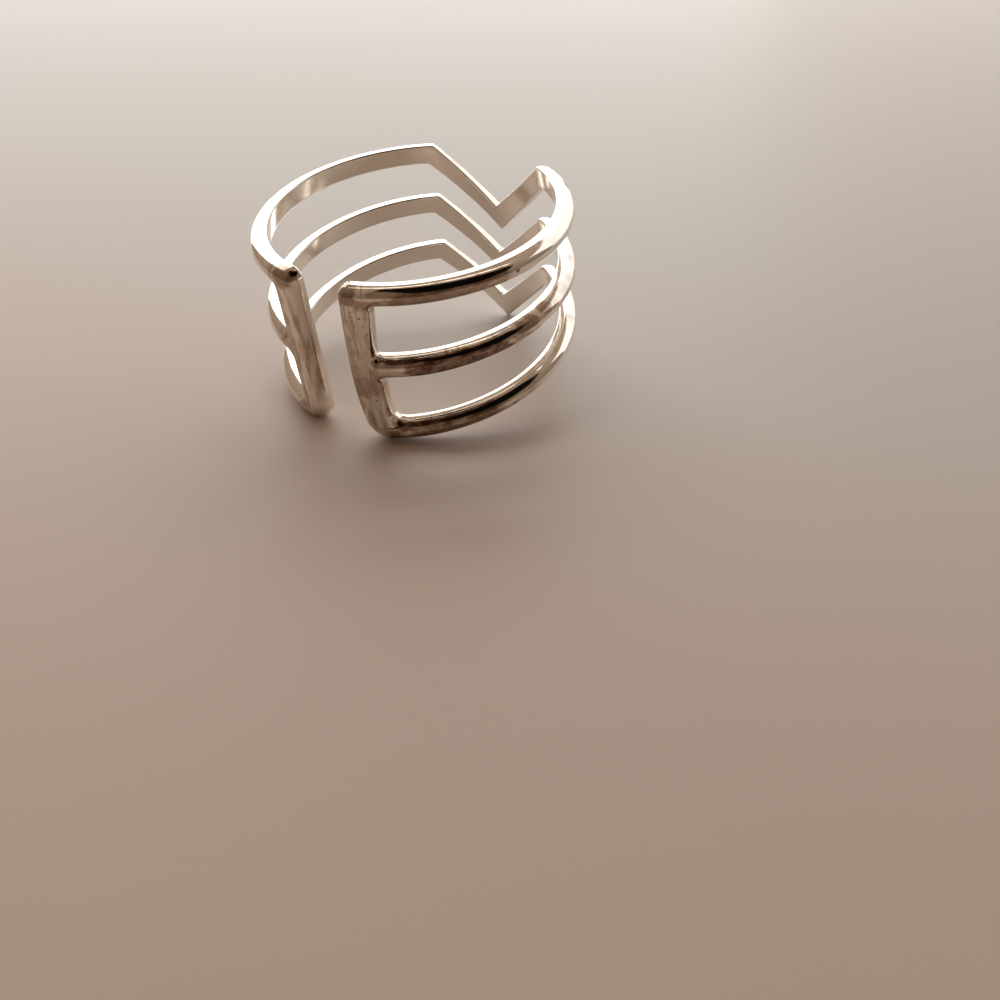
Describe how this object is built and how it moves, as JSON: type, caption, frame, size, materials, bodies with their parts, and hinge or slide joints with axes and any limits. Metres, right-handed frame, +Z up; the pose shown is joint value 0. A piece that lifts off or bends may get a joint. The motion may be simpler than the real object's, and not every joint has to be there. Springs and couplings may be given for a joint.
{
  "type": "open chevron ring",
  "caption": "Open finger ring of domed bands with a chevron front, joined at the opening by upright end bars.",
  "frame": {"origin": "under the middle of the resting ring's box, at table height; the ring rests on its lowest chevron tip and on the feet of its end bars", "axes": "+Z is up from the table, -Y is towards the opening between the end bars, +Y is towards the chevrons and X runs from side to side; the finger hole's axis leans 10.4 degrees from +Z towards -Y"},
  "size_m": [0.0188, 0.0222, 0.0124],
  "materials": {
    "silver": "polished silver with light tarnish and fine scratches"
  },
  "bodies": {
    "root": {"ring": "silver"}
  },
  "joints": []
}
